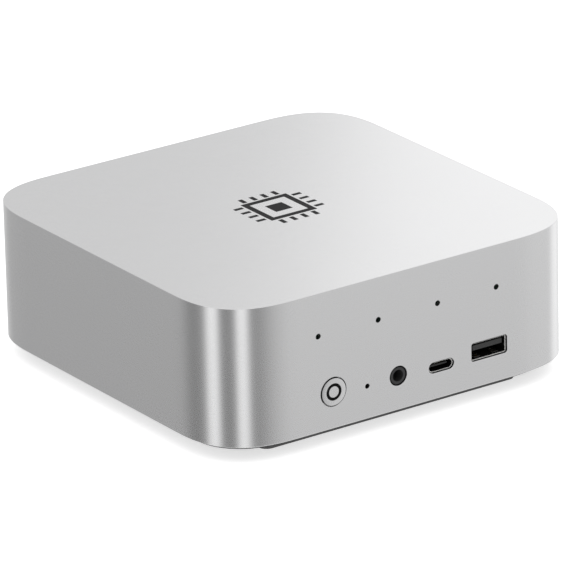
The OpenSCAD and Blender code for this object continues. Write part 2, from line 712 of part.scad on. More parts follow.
module ssd_board(x) translate([x, ssd_y0, ssd_z]) {
    difference() {
        translate([-ssd_size[0] / 2, 0, 0]) cube(ssd_size);
        translate([0, ssd_size[1], -1]) cylinder(r = 1.6, h = 3);
    }
    for (y = [18, 36, 56]) translate([-8, y - 7, -ssd_chip_t]) cube([16, 13, ssd_chip_t + eps]);
    translate([-5, 3.5, -0.9]) cube([10, 6, 0.9 + eps]);
}
module ssd_primary() color([0.03, 0.1, 0.2]) ssd_board(-ssd_x);
module ssd_secondary() color([0.03, 0.1, 0.2]) ssd_board(ssd_x);
module ssd_sockets() color([0.08, 0.08, 0.08]) for (s = [-1, 1])
    translate([s * ssd_x - 11, ssd_y0 - 6, ssd_z - 1]) difference() {
        cube([22, 8, board_bottom_z - ssd_z + 1 - eps]);
        translate([-1, 6 - 0.1, 0.9]) cube([24, 3, ssd_size[2] + 0.2]);
        translate([-1, 6 - 0.1, -1]) cube([24, 3, 2]);
    }
module ssd_screws() color([0.75, 0.75, 0.75]) for (s = [-1, 1])
    translate([s * ssd_x, ssd_y0 + ssd_size[1], ssd_z - 0.8 - eps]) {
        cylinder(r = 2.4, h = 0.8);
        cylinder(r = 1.5, h = board_bottom_z - ssd_z + 0.8);
    }
module ssd_heat_plate() color([0.6, 0.6, 0.62]) translate([0, ssd_y0 + 38, ssd_plate_z]) difference() {
    linear_extrude(ssd_plate_t) round_rect([60, 62], 3);
    for (k = [-2:2]) translate([0, k * 11, -1]) linear_extrude(3) stadium([6, 2]);
}

module wifi_card() color([0.05, 0.15, 0.1]) translate([38, 12, ssd_z]) {
    block([16, 22, 0.8]);
    translate([0, -2, -1.2]) block([13, 14, 1.2 + eps]);
    translate([0, -13, -0.6]) block([17, 5, board_bottom_z - ssd_z + 0.6 - eps]);
}
// Two foil antennas on the cover, each with a thin lead that runs to the card's plugs
lead_r = 0.45;
lead_z = cover_top_z + lead_r + eps;
plug_z = ssd_z + 0.4;
module wifi_antennas() color([0.65, 0.5, 0.2]) {
    for (s = [-1, 1]) translate([s * 52.5, -6, cover_top_z + eps]) block([8, 30, 0.3]);
    route([[52.5, 8, lead_z], [52.5, 26, lead_z], [43.5, 26, lead_z], [43.5, 26, plug_z], [43.5, 23.4, plug_z]]);
    route([[-52.5, 8, lead_z], [-52.5, 41.5, lead_z], [38.5, 41.5, lead_z], [38.5, 41.5, plug_z], [38.5, 23.4, plug_z]]);
}

// A wire along axis-parallel stretches, with a ball at each corner
module route(points) for (i = [0:len(points) - 2]) {
    a = points[i];
    d = points[i + 1] - a;
    translate(a) sphere(lead_r);
    translate(a) rotate(d[0] != 0 ? [0, sign(d[0]) * 90, 0] : d[1] != 0 ? [-sign(d[1]) * 90, 0, 0] : [0, 0, 0])
        cylinder(r = lead_r, h = norm(d));
}

module speaker(s) translate([s * 57, -2, board_bottom_z - 1]) {
    difference() {
        translate([0, 0, 0]) linear_extrude(14) round_rect([12, 44], 2);
        translate([0, 0, -1]) linear_extrude(1.6) stadium_y([9, 34]);
    }
    translate([0, 0, 0.2]) linear_extrude(0.4 + eps) stadium_y([7.6, 32]);
    // flat lead to its plug on the main board
    for (k = [0, 1]) scale_xy(-s, 1) translate([5.9, k * 1.1, board_t + 1.6]) cube([5.5, 0.7, 0.7]);
    scale_xy(-s, 1) translate([11, -1, board_t + 1 + eps]) cube([3.2, 3.8, 1.8]);
}
module stadium_y(size) rotate(90) stadium([size[1], size[0]]);
module speaker_left() color([0.09, 0.09, 0.09]) speaker(-1);
module speaker_right() color([0.09, 0.09, 0.09]) speaker(1);

// ---------- nodes ----------

outer_shell();
top_emblem();
inner_frame();
bottom_cover();
cover_screws();
front_foot_strip();
rear_foot_strip();
dust_filter();
power_button();
power_light_ring();
button_guide();
power_switch();
power_switch_plunger();
reset_switch();
reset_switch_plunger();
mic_board();
mic_seals();
front_audio_jack();
audio_jack_contacts();
front_usb_c_shell();
front_usb_c_tongue();
front_usb_a_shell();
front_usb_a_tongue();
dc_jack();
dc_jack_pin();
rear_usb_stack_shell();
rear_usb_stack_tongues();
lan_jack();
lan_jack_contacts();
hdmi_shell();
hdmi_tongue();
displayport_shell();
displayport_tongue();
rear_usb_c_shell();
rear_usb_c_tongue();
main_board();
board_screws();
processor();
memory_chips();
power_inductors();
coin_cell();
vapor_chamber();
fin_stack();
cooler_screws();
fan_frame();
fan_bearing();
fan_stator();
fan_shaft();
fan_rotor();
fan_screws();
fan_lead();
ssd_sockets();
ssd_primary();
ssd_secondary();
ssd_screws();
ssd_heat_plate();
wifi_card();
wifi_antennas();
speaker_left();
speaker_right();
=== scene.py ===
"""Looks for a small desktop computer: aluminium shell, front button and sockets, rear ports, base and feet.

Lengths in the shape code are in millimetres in the CAD frame: +X right along the front, -Y out of the
front, +Z up, origin under the middle of the body. Meshes are stored in metres.
"""
import json
import math

import bmesh
import bpy
from mathutils import Matrix, Vector


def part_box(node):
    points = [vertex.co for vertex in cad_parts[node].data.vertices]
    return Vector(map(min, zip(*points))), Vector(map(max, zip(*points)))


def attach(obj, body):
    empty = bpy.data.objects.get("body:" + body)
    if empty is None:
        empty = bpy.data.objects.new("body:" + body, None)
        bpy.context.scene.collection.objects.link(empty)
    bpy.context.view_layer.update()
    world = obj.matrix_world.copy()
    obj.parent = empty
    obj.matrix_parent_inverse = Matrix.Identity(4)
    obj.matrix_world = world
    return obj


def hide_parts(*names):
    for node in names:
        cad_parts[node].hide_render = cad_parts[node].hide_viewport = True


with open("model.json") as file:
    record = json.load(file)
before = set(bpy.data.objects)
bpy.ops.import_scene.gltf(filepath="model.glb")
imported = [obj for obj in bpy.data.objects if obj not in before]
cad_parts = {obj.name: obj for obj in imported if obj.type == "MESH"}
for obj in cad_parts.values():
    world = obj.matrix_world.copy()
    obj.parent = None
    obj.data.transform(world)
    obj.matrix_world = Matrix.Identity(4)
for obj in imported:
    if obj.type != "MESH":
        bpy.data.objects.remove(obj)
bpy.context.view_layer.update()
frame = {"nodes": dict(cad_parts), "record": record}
NODES = frame["nodes"]
SLOT_OF = {part["node"]: part["material_slot"] for part in frame["record"]["subparts"]}
MM = 0.001
TAU = 2 * math.pi


def cad_box(node):
    """Lowest and highest corner of a CAD node, in millimetres."""
    low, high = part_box(node)
    return low / MM, high / MM


def cad_centre(node):
    low, high = cad_box(node)
    return (low + high) / 2


# ---------- sizes, from the CAD nodes wherever a node gives them ----------

SHELL_LOW, SHELL_HIGH = cad_box("outer_shell")
HALF = SHELL_HIGH.x
SHELL_Z, TOP_Z = SHELL_LOW.z, SHELL_HIGH.z
FRONT_Y, REAR_Y = -HALF, HALF
WALL = 2.0
CORNER_REACH = 27.8  # how far from a corner the side begins to curve
CORNER_POWER = 2.74  # exponent of the corner's superellipse
CORNER_STEPS = 44
EDGE_R = 0.13  # round of the top edge
EDGE_STEPS = 5
LIP = 0.25  # chamfer of the lower edge
REAR_MOUTH = 0.14  # how far the rear openings widen at the face
FRONT_MOUTH = 0.06
BUTTON_MOUTH = 0.03

BUTTON = cad_centre("power_button")
BUTTON_R = 4.36
BUTTON_GAP = 0.38
BUTTON_SKIRT = 0.03  # thickness of the black skirt round the cap
BUTTON_FACE_Y = cad_box("power_button")[0].y
BUTTON_FLANGE_R = 5.4
BUTTON_STEM_R = 1.6
RING_OUTER, RING_INNER, RING_DEPTH = 2.76, 1.78, 1.2
RESET = cad_centre("reset_switch_plunger")
RESET_HOLE_R = 0.8
MIC_PITCH, MIC_R = 22.1, 0.9
MIC_Z = cad_centre("mic_seals").z
JACK = cad_centre("audio_jack_contacts")
JACK_HOLE_R, JACK_NOSE_R, JACK_BORE_R, JACK_RECESS = 3.2, 2.82, 1.9, 0.2
JACK_BACK = 14.0  # depth of the bore's end
# width of the black ring of painted shade in the gap round the jack
JACK_GAP_SHADE = 0.36

CAN_T = 0.3  # rim of a socket's can
USB_C_CUT = (9.45, 3.6)  # opening in the wall; the can's outline follows
USB_C = (9.15, 3.3)
USB_A_CUT, USB_A_CUT_R = (13.5, 6.05), 0.85
USB_A, USB_A_R = (13.2, 5.75), 0.7
USB_A_MOUTH = (12.5, 5.0)  # clear opening of a stacked socket
USB_A_BLOCK = (12.3, 4.9)  # plastic at the back of a socket
GAP_SHADE = 0.13  # width of the black ring of painted shade in the gap between the wall and a can
# thickness of the black sheet of painted shade inside a socket
SHADE_SHEET = 0.03
RECESS = 0.55  # of the front cans behind the face
REAR_RECESS = 0.6
REAR_FACE = REAR_Y - REAR_RECESS
BOARD_TOP = cad_box("main_board")[1].z
FRONT_C = cad_centre("front_usb_c_tongue")
FRONT_A = cad_centre("front_usb_a_shell")
FRONT_A.z = SHELL_Z + 11.6
DC = cad_centre("dc_jack_pin")
DC_HOLE_R, DC_BORE_R, DC_NOSE_R = 3.8, 3.2, 3.65
STACK = cad_centre("rear_usb_stack_shell")
STACK_CUT = (14.8, 16.0)
LAN = cad_centre("lan_jack")
LAN_CUT = (16.6, 14.0)
BLOCK_CUT_R = 0.6  # corner of the two openings above
HDMI = cad_centre("hdmi_tongue")
HDMI_CUT = (15.7, 6.3)
DP = cad_centre("displayport_tongue")
DP_CUT = (17.3, 6.1)
VIDEO_CUT_R = 0.9
VIDEO_PADS = 10
VIDEO_Z = SHELL_Z + 11.6
REAR_C = cad_centre("rear_usb_c_tongue")
VENT_COUNT, VENT_PITCH, VENT_SLOT = 21, 4.0, (2.0, 10.5)
VENT_Z = SHELL_Z + 34.3

EMBLEM_W, EMBLEM_LINE, EMBLEM_CORE = 17.0, 2.0, 6.12  # frame, its line, the core
EMBLEM_PIN, EMBLEM_PINS = (1.5, 3.2), 4  # one pin, and how many on a side
EMBLEM_PIN_GAP = 0.8
EMBLEM_DEPTH = 0.28
EMBLEM_SLACK = 0.04  # the pocket is this much wider than the inlay

QUARTER_TURNS = ((1, 0), (0, 1), (-1, 0), (0, -1))  # cosine and sine


# ---------- flat outlines: lists of (u, v), anticlockwise ----------


def round_rect(w, h, r, grow=0.0, steps=10):
    w, h, r = w / 2 + grow, h / 2 + grow, max(r + grow, 0.01)
    points = []
    for cx, cy, start in ((w - r, h - r, 0), (r - w, h - r, 90), (r - w, r - h, 180), (w - r, r - h, 270)):
        for i in range(steps + 1):
            a = math.radians(start + 90 * i / steps)
            points.append((cx + r * math.cos(a), cy + r * math.sin(a)))
    return points


def stadium(w, h, grow=0.0, steps=14):
    return round_rect(w, h, h / 2 - 0.001, grow, steps)


def slot_upright(w, h, grow):
    """A stadium that stands on its end."""
    return [(-v, u) for u, v in stadium(h, w, grow, 8)]


def shifted(points, du, dv):
    return [(u + du, v + dv) for u, v in points]


def circle(r, grow=0.0, steps=72):
    r += grow
    return [(r * math.cos(TAU * i / steps), r * math.sin(TAU * i / steps)) for i in range(steps)]


def convex(points, grow=0.0):
    """A convex outline moved outwards by grow."""
    out = []
    n = len(points)
    for i, p in enumerate(points):
        a, b = Vector(points[i - 1]), Vector(points[(i + 1) % n])
        p = Vector(p)
        d1, d2 = (p - a).normalized(), (b - p).normalized()
        n1, n2 = Vector((d1.y, -d1.x)), Vector((d2.y, -d2.x))
        out.append(tuple(p + (n1 + n2) * grow / (1 + n1.dot(n2))))
    return out


def body_outline(inset=0.0):
    """The body in plan: straight sides that ease into superellipse corners, moved inwards by inset."""
    power = 1 / (CORNER_POWER - 1)
    straight = HALF - CORNER_REACH
    points = []
    for c, s in QUARTER_TURNS:
        for i in range(CORNER_STEPS + 1):
            a = math.pi / 2 * i / CORNER_STEPS
            nx, ny = math.cos(a), math.sin(a)
            px, py = max(nx, 0.0) ** power, max(ny, 0.0) ** power
            scale = CORNER_REACH / (px**CORNER_POWER + py**CORNER_POWER) ** (1 / CORNER_POWER)
            x, y = straight + px * scale - nx * inset, straight + py * scale - ny * inset
            points.append((c * x - s * y, s * x + c * y))
    return points


def usb_c_cut(grow):
    return stadium(*USB_C_CUT, grow)


def usb_a_cut(grow):
    return round_rect(*USB_A_CUT, USB_A_CUT_R, grow)


def jack_cut(grow):
    return circle(JACK_HOLE_R, grow, 96)


def usb_c_can(grow):
    return stadium(*USB_C, grow)


def usb_a_can(grow):
    return round_rect(*USB_A, USB_A_R, grow)


def hdmi_outline(grow=0.0):
    w, h = 7.5, 2.8
    return convex([(-w, h), (-w, 2.2 - h), (2 - w, -h), (w - 2, -h), (w, 2.2 - h), (w, h)], grow)


def displayport_outline(grow=0.0):
    w, h = 8.3, 2.7
    return convex([(-w, h), (-w, 2.2 - h), (2.2 - w, -h), (w, -h), (w, h)], grow)


# ---------- where an outline stands ----------


def on_front(x, z, y0=FRONT_Y):
    """Stands (u, v) upright at a depth behind the front plane y0."""
    return lambda points, depth: [Vector((x + u, y0 + depth, z + v)) for u, v in points]


def on_rear(x, z, y0=REAR_FACE):
    return lambda points, depth: [Vector((x - u, y0 - depth, z + v)) for u, v in points]


def level(x=0.0, y=0.0):
    """Lays (u, v) flat at a height."""
    return lambda points, height: [Vector((x + u, y + v, height)) for u, v in points]


# ---------- solids ----------


class Solid:
    """One mesh, put together from closed lofts."""

    def __init__(self):
        self.bm = bmesh.new()

    def loft(self, sections, ring=False):
        """Skins equal loops. A ring joins the last loop to the first, otherwise both ends are capped."""
        rows = [[self.bm.verts.new(p) for p in loop] for loop in sections]
        pairs = list(zip(rows, rows[1:])) + ([(rows[-1], rows[0])] if ring else [])
        for low, high in pairs:
            n = len(low)
            for i in range(n):
                j = (i + 1) % n
                self.bm.faces.new((low[i], low[j], high[j], high[i]))
        if not ring:
            self.bm.faces.new(rows[0][::-1])
            self.bm.faces.new(rows[-1])
        return self

    def stand(self, place, outline, profile, ring=False):
        """Lofts outline(grow) through a profile of (depth, grow)."""
        return self.loft([place(outline(grow), depth) for depth, grow in profile], ring)

    def block(self, low, high, edge):
        """A box with softened edges."""
        low, high = Vector(low), Vector(high)
        size, mid = high - low, (low + high) / 2
        loops = []
        for z, g in ((low.z, -edge), (low.z + edge, 0), (high.z - edge, 0), (high.z, -edge)):
            loops.append(level(mid.x, mid.y)(round_rect(size.x, size.y, edge + 0.001, g, 2), z))
        return self.loft(loops)

    def object(self, name, sharp=32):
        bmesh.ops.remove_doubles(self.bm, verts=self.bm.verts, dist=1e-5)
        bmesh.ops.recalc_face_normals(self.bm, faces=self.bm.faces)
        bmesh.ops.scale(self.bm, vec=(MM, MM, MM), verts=self.bm.verts)
        mesh = bpy.data.meshes.new(name)
        self.bm.to_mesh(mesh)
        self.bm.free()
        thing = bpy.data.objects.new(name, mesh)
        bpy.context.scene.collection.objects.link(thing)
        shade(thing, sharp)
        return thing


def shade(thing, sharp=32):
    thing.data.shade_smooth()
    thing.data.set_sharp_from_angle(angle=math.radians(sharp))


def weighted(thing):
    modifier = thing.modifiers.new("normals", "WEIGHTED_NORMAL")
    modifier.keep_sharp = True
    modifier.weight = 100


def cut(thing, solid):
    """Cuts a Solid out of thing, for good."""
    cutter = solid.object("cutter")
    modifier = thing.modifiers.new("cut", "BOOLEAN")
    modifier.operation, modifier.solver, modifier.object = "DIFFERENCE", "EXACT", cutter
    bpy.context.view_layer.update()
    cut_mesh = bpy.data.meshes.new_from_object(thing.evaluated_get(bpy.context.evaluated_depsgraph_get()))
    thing.modifiers.clear()
    old, thing.data = thing.data, cut_mesh
    bpy.data.meshes.remove(old)
    bpy.data.objects.remove(cutter)


# ---------- procedural materials ----------


class Graph:
    """A short way to write shader nodes."""

    def __init__(self, tree):
        self.tree = tree
        tree.nodes.clear()

    def add(self, kind, inputs=(), **settings):
        node = self.tree.nodes.new("ShaderNode" + kind)
        for key, value in settings.items():
            setattr(node, key, value)
        for key, value in dict(inputs).items():
            socket = node.inputs[key]
            if isinstance(value, bpy.types.NodeSocket):
                self.tree.links.new(value, socket)
            else:
                socket.default_value = value
        return node

    def math(self, operation, *values):
        return self.add("Math", dict(enumerate(values)), operation=operation).outputs[0]

    def noise(self, where, size_mm, detail=3.0, roughness=0.55):
        """Noise whose features are about size_mm across, on object coordinates in metres."""
        inputs = {"Vector": where, "Scale": 1 / (size_mm * MM), "Detail": detail, "Roughness": roughness}
        return self.add("TexNoise", inputs).outputs["Fac"]

    def remap(self, value, low, high, to_low, to_high, kind="SMOOTHSTEP"):
        inputs = {"Value": value, "From Min": low, "From Max": high, "To Min": to_low, "To Max": to_high}
        return self.add("MapRange", inputs, interpolation_type=kind).outputs["Result"]

    def blend(self, factor, dark, light):
        """A mix of two colours; the Mix node keeps its colour sockets at 6, 7 and output 2."""
        inputs = {"Factor": factor, 6: dark, 7: light}
        return self.add("Mix", inputs, data_type="RGBA").outputs[2]


def finish_surface(g, values, bump_height, bump_mm):
    """Bump and shader; values are the shader's own sockets."""
    normal = g.add("Bump", {"Strength": 1.0, "Distance": bump_mm * MM, "Height": bump_height}).outputs[0]
    surface = g.add("BsdfPrincipled", {**values, "Normal": normal})
    g.add("OutputMaterial", {"Surface": surface.outputs[0]})


def new_material(name):
    material = bpy.data.materials.new(name)
    material.use_nodes = True
    return material, Graph(material.node_tree)


def grey(v, alpha=1.0):
    return (v, v, v, alpha)


def tint(colour, k):
    return (*(min(1.0, c * k) for c in colour), 1.0)


def edge_mask(g, radius_mm):
    """1 on a worn or machined edge, 0 on a face."""
    soft = g.add("Bevel", {"Radius": radius_mm * MM}, samples=4).outputs[0]
    hard = g.add("NewGeometry").outputs["Normal"]
    same = g.add("VectorMath", {0: soft, 1: hard}, operation="DOT_PRODUCT").outputs["Value"]
    return g.remap(same, 0.995, 0.86, 0.0, 1.0)


def blasted_aluminium(name, colour, roughness=0.3, edge=0.25):
    """Silver anodising over a bead-blasted surface: fine grain, faint cloudiness, cleaner cut edges, and
    painted shade that darkens the colour towards the bottom.
    """
    material, g = new_material(name)
    where = g.add("TexCoord").outputs["Object"]
    grain = g.noise(where, 0.16, 2.0, 0.7)
    fine = g.add("TexVoronoi", {"Vector": where, "Scale": 1 / (0.11 * MM)}).outputs["Distance"]
    cloud = g.noise(where, 26.0, 3.0, 0.5)
    edges = edge_mask(g, edge)
    base = g.blend(cloud, tint(colour, 0.993), tint(colour, 1.007))
    # painted shade: the colour is darker near the floor and grows lighter up to 50 mm high
    rise = g.remap(g.add("SeparateXYZ", {0: where}).outputs["Z"], 5 * MM, 50 * MM, 0.0, 1.0, "LINEAR")
    base = g.blend(rise, base, tint(colour, 1.093))
    speck = g.remap(grain, 0.35, 0.65, 0.0, 1.0)
    base = g.blend(speck, base, tint(colour, 1.03))
    base = g.blend(edges, base, tint(colour, 1.08))
    matt = g.math("ADD", g.remap(cloud, 0.3, 0.7, roughness - 0.005, roughness + 0.005),
                  g.remap(grain, 0.3, 0.7, -0.02, 0.02))
    matt = g.math("SUBTRACT", matt, g.math("MULTIPLY", edges, 0.06))
    height = g.math("ADD", grain, g.math("MULTIPLY", fine, 0.5))
    finish_surface(g, {"Base Color": base, "Metallic": 1.0, "Roughness": matt}, height, 0.0006)
    return material


def sheet_metal(name, colour, roughness=0.24, metallic=1.0, lines=(1.0, 9.0, 1.0), bump=0.002):
    """Rolled or plated metal with fine directional lines."""
    material, g = new_material(name)
    where = g.add("TexCoord").outputs["Object"]
    stretched = g.add("Mapping", {"Vector": where, "Scale": lines}).outputs[0]
    rolled = g.noise(stretched, 0.6, 4.0, 0.6)
    stain = g.noise(where, 5.0, 3.0, 0.5)
    base = g.blend(stain, tint(colour, 0.88), tint(colour, 1.06))
    base = g.blend(g.remap(rolled, 0.4, 0.7, 0.0, 1.0), base, tint(colour, 1.1))
    matt = g.math("ADD", g.remap(stain, 0.3, 0.7, roughness - 0.05, roughness + 0.07),
                  g.remap(rolled, 0.3, 0.7, -0.04, 0.04))
    finish_surface(g, {"Base Color": base, "Metallic": metallic, "Roughness": matt}, rolled, bump)
    return material


def moulded(name, colour, roughness=0.5, grain_mm=0.25, bump=0.012, edge=0.0, specular=0.5):
    """Moulded plastic or rubber: spark-eroded texture, slightly rubbed edges."""
    material, g = new_material(name)
    where = g.add("TexCoord").outputs["Object"]
    pits = g.add("TexVoronoi", {"Vector": where, "Scale": 1 / (grain_mm * MM)}).outputs["Distance"]
    grain = g.noise(where, grain_mm * 0.6, 3.0, 0.6)
    cloud = g.noise(where, 14.0, 3.0, 0.5)
    base = g.blend(cloud, tint(colour, 0.86), tint(colour, 1.14))
    base = g.blend(g.remap(grain, 0.45, 0.7, 0.0, 0.6), base, tint(colour, 1.35))
    matt = g.remap(cloud, 0.3, 0.7, roughness - 0.04, roughness + 0.05)
    if edge:
        rubbed = edge_mask(g, edge)
        base = g.blend(rubbed, base, tint(colour, 1.7))
        matt = g.math("SUBTRACT", matt, g.math("MULTIPLY", rubbed, 0.12))
    height = g.math("ADD", g.math("MULTIPLY", pits, 0.7), grain)
    finish_surface(g, {"Base Color": base, "Roughness": matt, "Specular IOR Level": specular}, height, bump)
    return material


def circuit_board(name, colour):
    """Solder mask over copper tracks, with rows of small pads."""
    material, g = new_material(name)
    where = g.add("TexCoord").outputs["Object"]
    bricks = {"Vector": where, "Scale": 1 / (9 * MM), "Mortar Size": 0.03}
    bricks.update({"Color1": grey(0.2), "Color2": grey(0.7), "Mortar": grey(1.0)})
    flow = g.add("TexBrick", bricks).outputs["Color"]
    tracks = g.add("TexWave", {"Vector": where, "Scale": 1 / (2.4 * MM), "Distortion": 3.0, "Detail": 1.0})
    line = g.remap(tracks.outputs["Fac"], 0.72, 0.8, 0.0, 1.0)
    pads = g.add("TexVoronoi", {"Vector": where, "Scale": 1 / (2.1 * MM)}, distance="CHEBYCHEV")
    pad = g.remap(pads.outputs["Distance"], 0.16, 0.13, 0.0, 1.0)
    base = g.blend(line, tint(colour, 0.8), tint(colour, 1.5))
    base = g.blend(g.math("MULTIPLY", flow, 0.25), base, tint(colour, 1.2))
    base = g.blend(pad, base, (0.62, 0.60, 0.52, 1))
    finish_surface(g, {"Base Color": base, "Roughness": g.remap(pad, 0, 1, 0.32, 0.22),
                       "Metallic": g.math("MULTIPLY", pad, 0.9)}, g.math("ADD", line, pad), 0.02)
    return material


def woven_mesh(name, colour):
    """Fine filter gauze: crossed threads, with the holes between them painted near-black as painted shade
    seen through the gauze.
    """
    material, g = new_material(name)
    where = g.add("TexCoord").outputs["Object"]
    threads = []
    for axis in ("X", "Y"):
        inputs = {"Vector": where, "Scale": 1 / (3.2 * MM), "Distortion": 0.4}
        wave = g.add("TexWave", inputs, bands_direction=axis)
        threads.append(g.remap(wave.outputs["Fac"], 0.35, 0.75, 0.0, 1.0))
    weave = g.math("MAXIMUM", *threads)
    # painted shade: the holes between the threads are near-black
    base = g.blend(weave, grey(0.004), tint(colour, 1.2))
    finish_surface(g, {"Base Color": base, "Roughness": g.remap(weave, 0, 1, 0.9, 0.55)}, weave, 0.06)
    return material


def wound_copper(name, colour):
    """Enamelled wire on iron: tight bands round the poles."""
    material, g = new_material(name)
    where = g.add("TexCoord").outputs["Object"]
    turns = g.add("TexWave", {"Vector": where, "Scale": 1 / (2.2 * MM)}, bands_direction="Z").outputs["Fac"]
    cloud = g.noise(where, 3.0)
    base = g.blend(turns, tint(colour, 0.45), tint(colour, 1.15))
    matt = g.remap(cloud, 0.3, 0.7, 0.28, 0.42)
    finish_surface(g, {"Base Color": base, "Metallic": 0.9, "Roughness": matt}, turns, 0.05)
    return material


MATERIALS = {
    "anodised_aluminium": lambda n: blasted_aluminium(n, (0.745, 0.745, 0.75), 0.28),
    "emblem_black": lambda n: moulded(n, (0.008, 0.008, 0.0085), 0.5, 0.2, 0.002, 0.0, 0.12),
    "ring_black": lambda n: moulded(n, (0.004, 0.004, 0.004), 0.5, 0.2, 0.001, 0.0, 0.05),
    "frame_plastic": lambda n: moulded(n, (0.03, 0.03, 0.032), 0.5),
    "cover_plastic": lambda n: moulded(n, (0.036, 0.036, 0.038), 0.52, 0.3, 0.02, 0.25),
    "foot_rubber": lambda n: moulded(n, (0.1, 0.1, 0.101), 0.72, 0.35, 0.02, 0.3, 0.3),
    "seal_rubber": lambda n: moulded(n, (0.01, 0.01, 0.01), 0.8, 0.3, 0.02),
    "black_screw": lambda n: sheet_metal(n, (0.06, 0.06, 0.065), 0.38),
    "steel_screw": lambda n: sheet_metal(n, (0.62, 0.62, 0.63), 0.28),
    "filter_mesh": lambda n: woven_mesh(n, (0.05, 0.05, 0.052)),
    "switch_plastic": lambda n: moulded(n, (0.03, 0.03, 0.032), 0.45),
    "plunger_plastic": lambda n: moulded(n, (0.75, 0.73, 0.66), 0.45),
    "board_green": lambda n: circuit_board(n, (0.012, 0.06, 0.035)),
    "jack_plastic": lambda n: moulded(n, (0.03, 0.03, 0.031), 0.42, 0.18, 0.006, 0.0, 0.3),
    "gold_contact": lambda n: sheet_metal(n, (0.83, 0.62, 0.28), 0.22),
    "socket_steel": lambda n: sheet_metal(n, (0.88, 0.875, 0.86), 0.32, 0.55, (1.0, 1.0, 6.0), 0.001),
    "tongue_black": lambda n: moulded(n, (0.034, 0.034, 0.034), 0.4, 0.2, 0.005, 0.0, 0.3),
    "tongue_pale": lambda n: moulded(n, (0.5, 0.5, 0.485), 0.42, 0.2, 0.005),
    "plated_pin": lambda n: sheet_metal(n, (0.74, 0.73, 0.7), 0.2),
    "processor_body": lambda n: circuit_board(n, (0.02, 0.07, 0.045)),
    "chip_black": lambda n: moulded(n, (0.02, 0.02, 0.022), 0.42, 0.1, 0.004),
    "cell_steel": lambda n: sheet_metal(n, (0.7, 0.7, 0.69), 0.26),
    "chamber_copper": lambda n: sheet_metal(n, (0.75, 0.4, 0.26), 0.3),
    "fin_aluminium": lambda n: sheet_metal(n, (0.78, 0.78, 0.79), 0.28),
    "fan_plastic": lambda n: moulded(n, (0.022, 0.022, 0.024), 0.42),
    "rotor_plastic": lambda n: moulded(n, (0.028, 0.028, 0.03), 0.34, 0.3, 0.006),
    "bearing_bronze": lambda n: sheet_metal(n, (0.6, 0.42, 0.2), 0.35),
    "winding_copper": lambda n: wound_copper(n, (0.72, 0.36, 0.16)),
    "shaft_steel": lambda n: sheet_metal(n, (0.7, 0.7, 0.71), 0.14),
    "cable_black": lambda n: moulded(n, (0.02, 0.02, 0.02), 0.6),
    "drive_board": lambda n: circuit_board(n, (0.012, 0.03, 0.09)),
    "plate_aluminium": lambda n: sheet_metal(n, (0.62, 0.62, 0.64), 0.3),
    "speaker_plastic": lambda n: moulded(n, (0.025, 0.025, 0.026), 0.5),
}
_made = {}


def material_for(slot):
    if slot not in _made:
        _made[slot] = MATERIALS[slot](slot)
    return _made[slot]


def piece(thing, slot, body="case", stands_for=()):
    """Gives a new object its material, body and slot."""
    thing.data.materials.clear()
    thing.data.materials.append(material_for(slot))
    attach(thing, body)
    if stands_for:
        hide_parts(*stands_for)
    return thing


# ---------- the shell ----------


def emblem(grow, low, high):
    """A generic chip pictogram: a frame, a core and rows of pins."""
    solid = Solid()
    flat = level()
    half = EMBLEM_W / 2

    def square(size):
        return [(-size, -size), (size, -size), (size, size), (-size, size)]

    outer, inner = square(half + grow), square(half - EMBLEM_LINE - grow)
    solid.loft([flat(outer, low), flat(outer, high), flat(inner, high), flat(inner, low)], ring=True)
    solid.loft([flat(square(EMBLEM_CORE / 2 + grow), z) for z in (low, high)])
    pitch = EMBLEM_W / (EMBLEM_PINS + 0.2)
    w, h = EMBLEM_PIN[0] / 2 + grow, EMBLEM_PIN[1] / 2 + grow
    middle = half + EMBLEM_PIN_GAP + EMBLEM_PIN[1] / 2
    for c, s in QUARTER_TURNS:
        for k in range(EMBLEM_PINS):
            u = (k - (EMBLEM_PINS - 1) / 2) * pitch
            box = [(u - w, middle - h), (u + w, middle - h), (u + w, middle + h), (u - w, middle + h)]
            box = [(c * x - s * y, s * x + c * y) for x, y in box]
            solid.loft([flat(box, z) for z in (low, high)])
    return solid


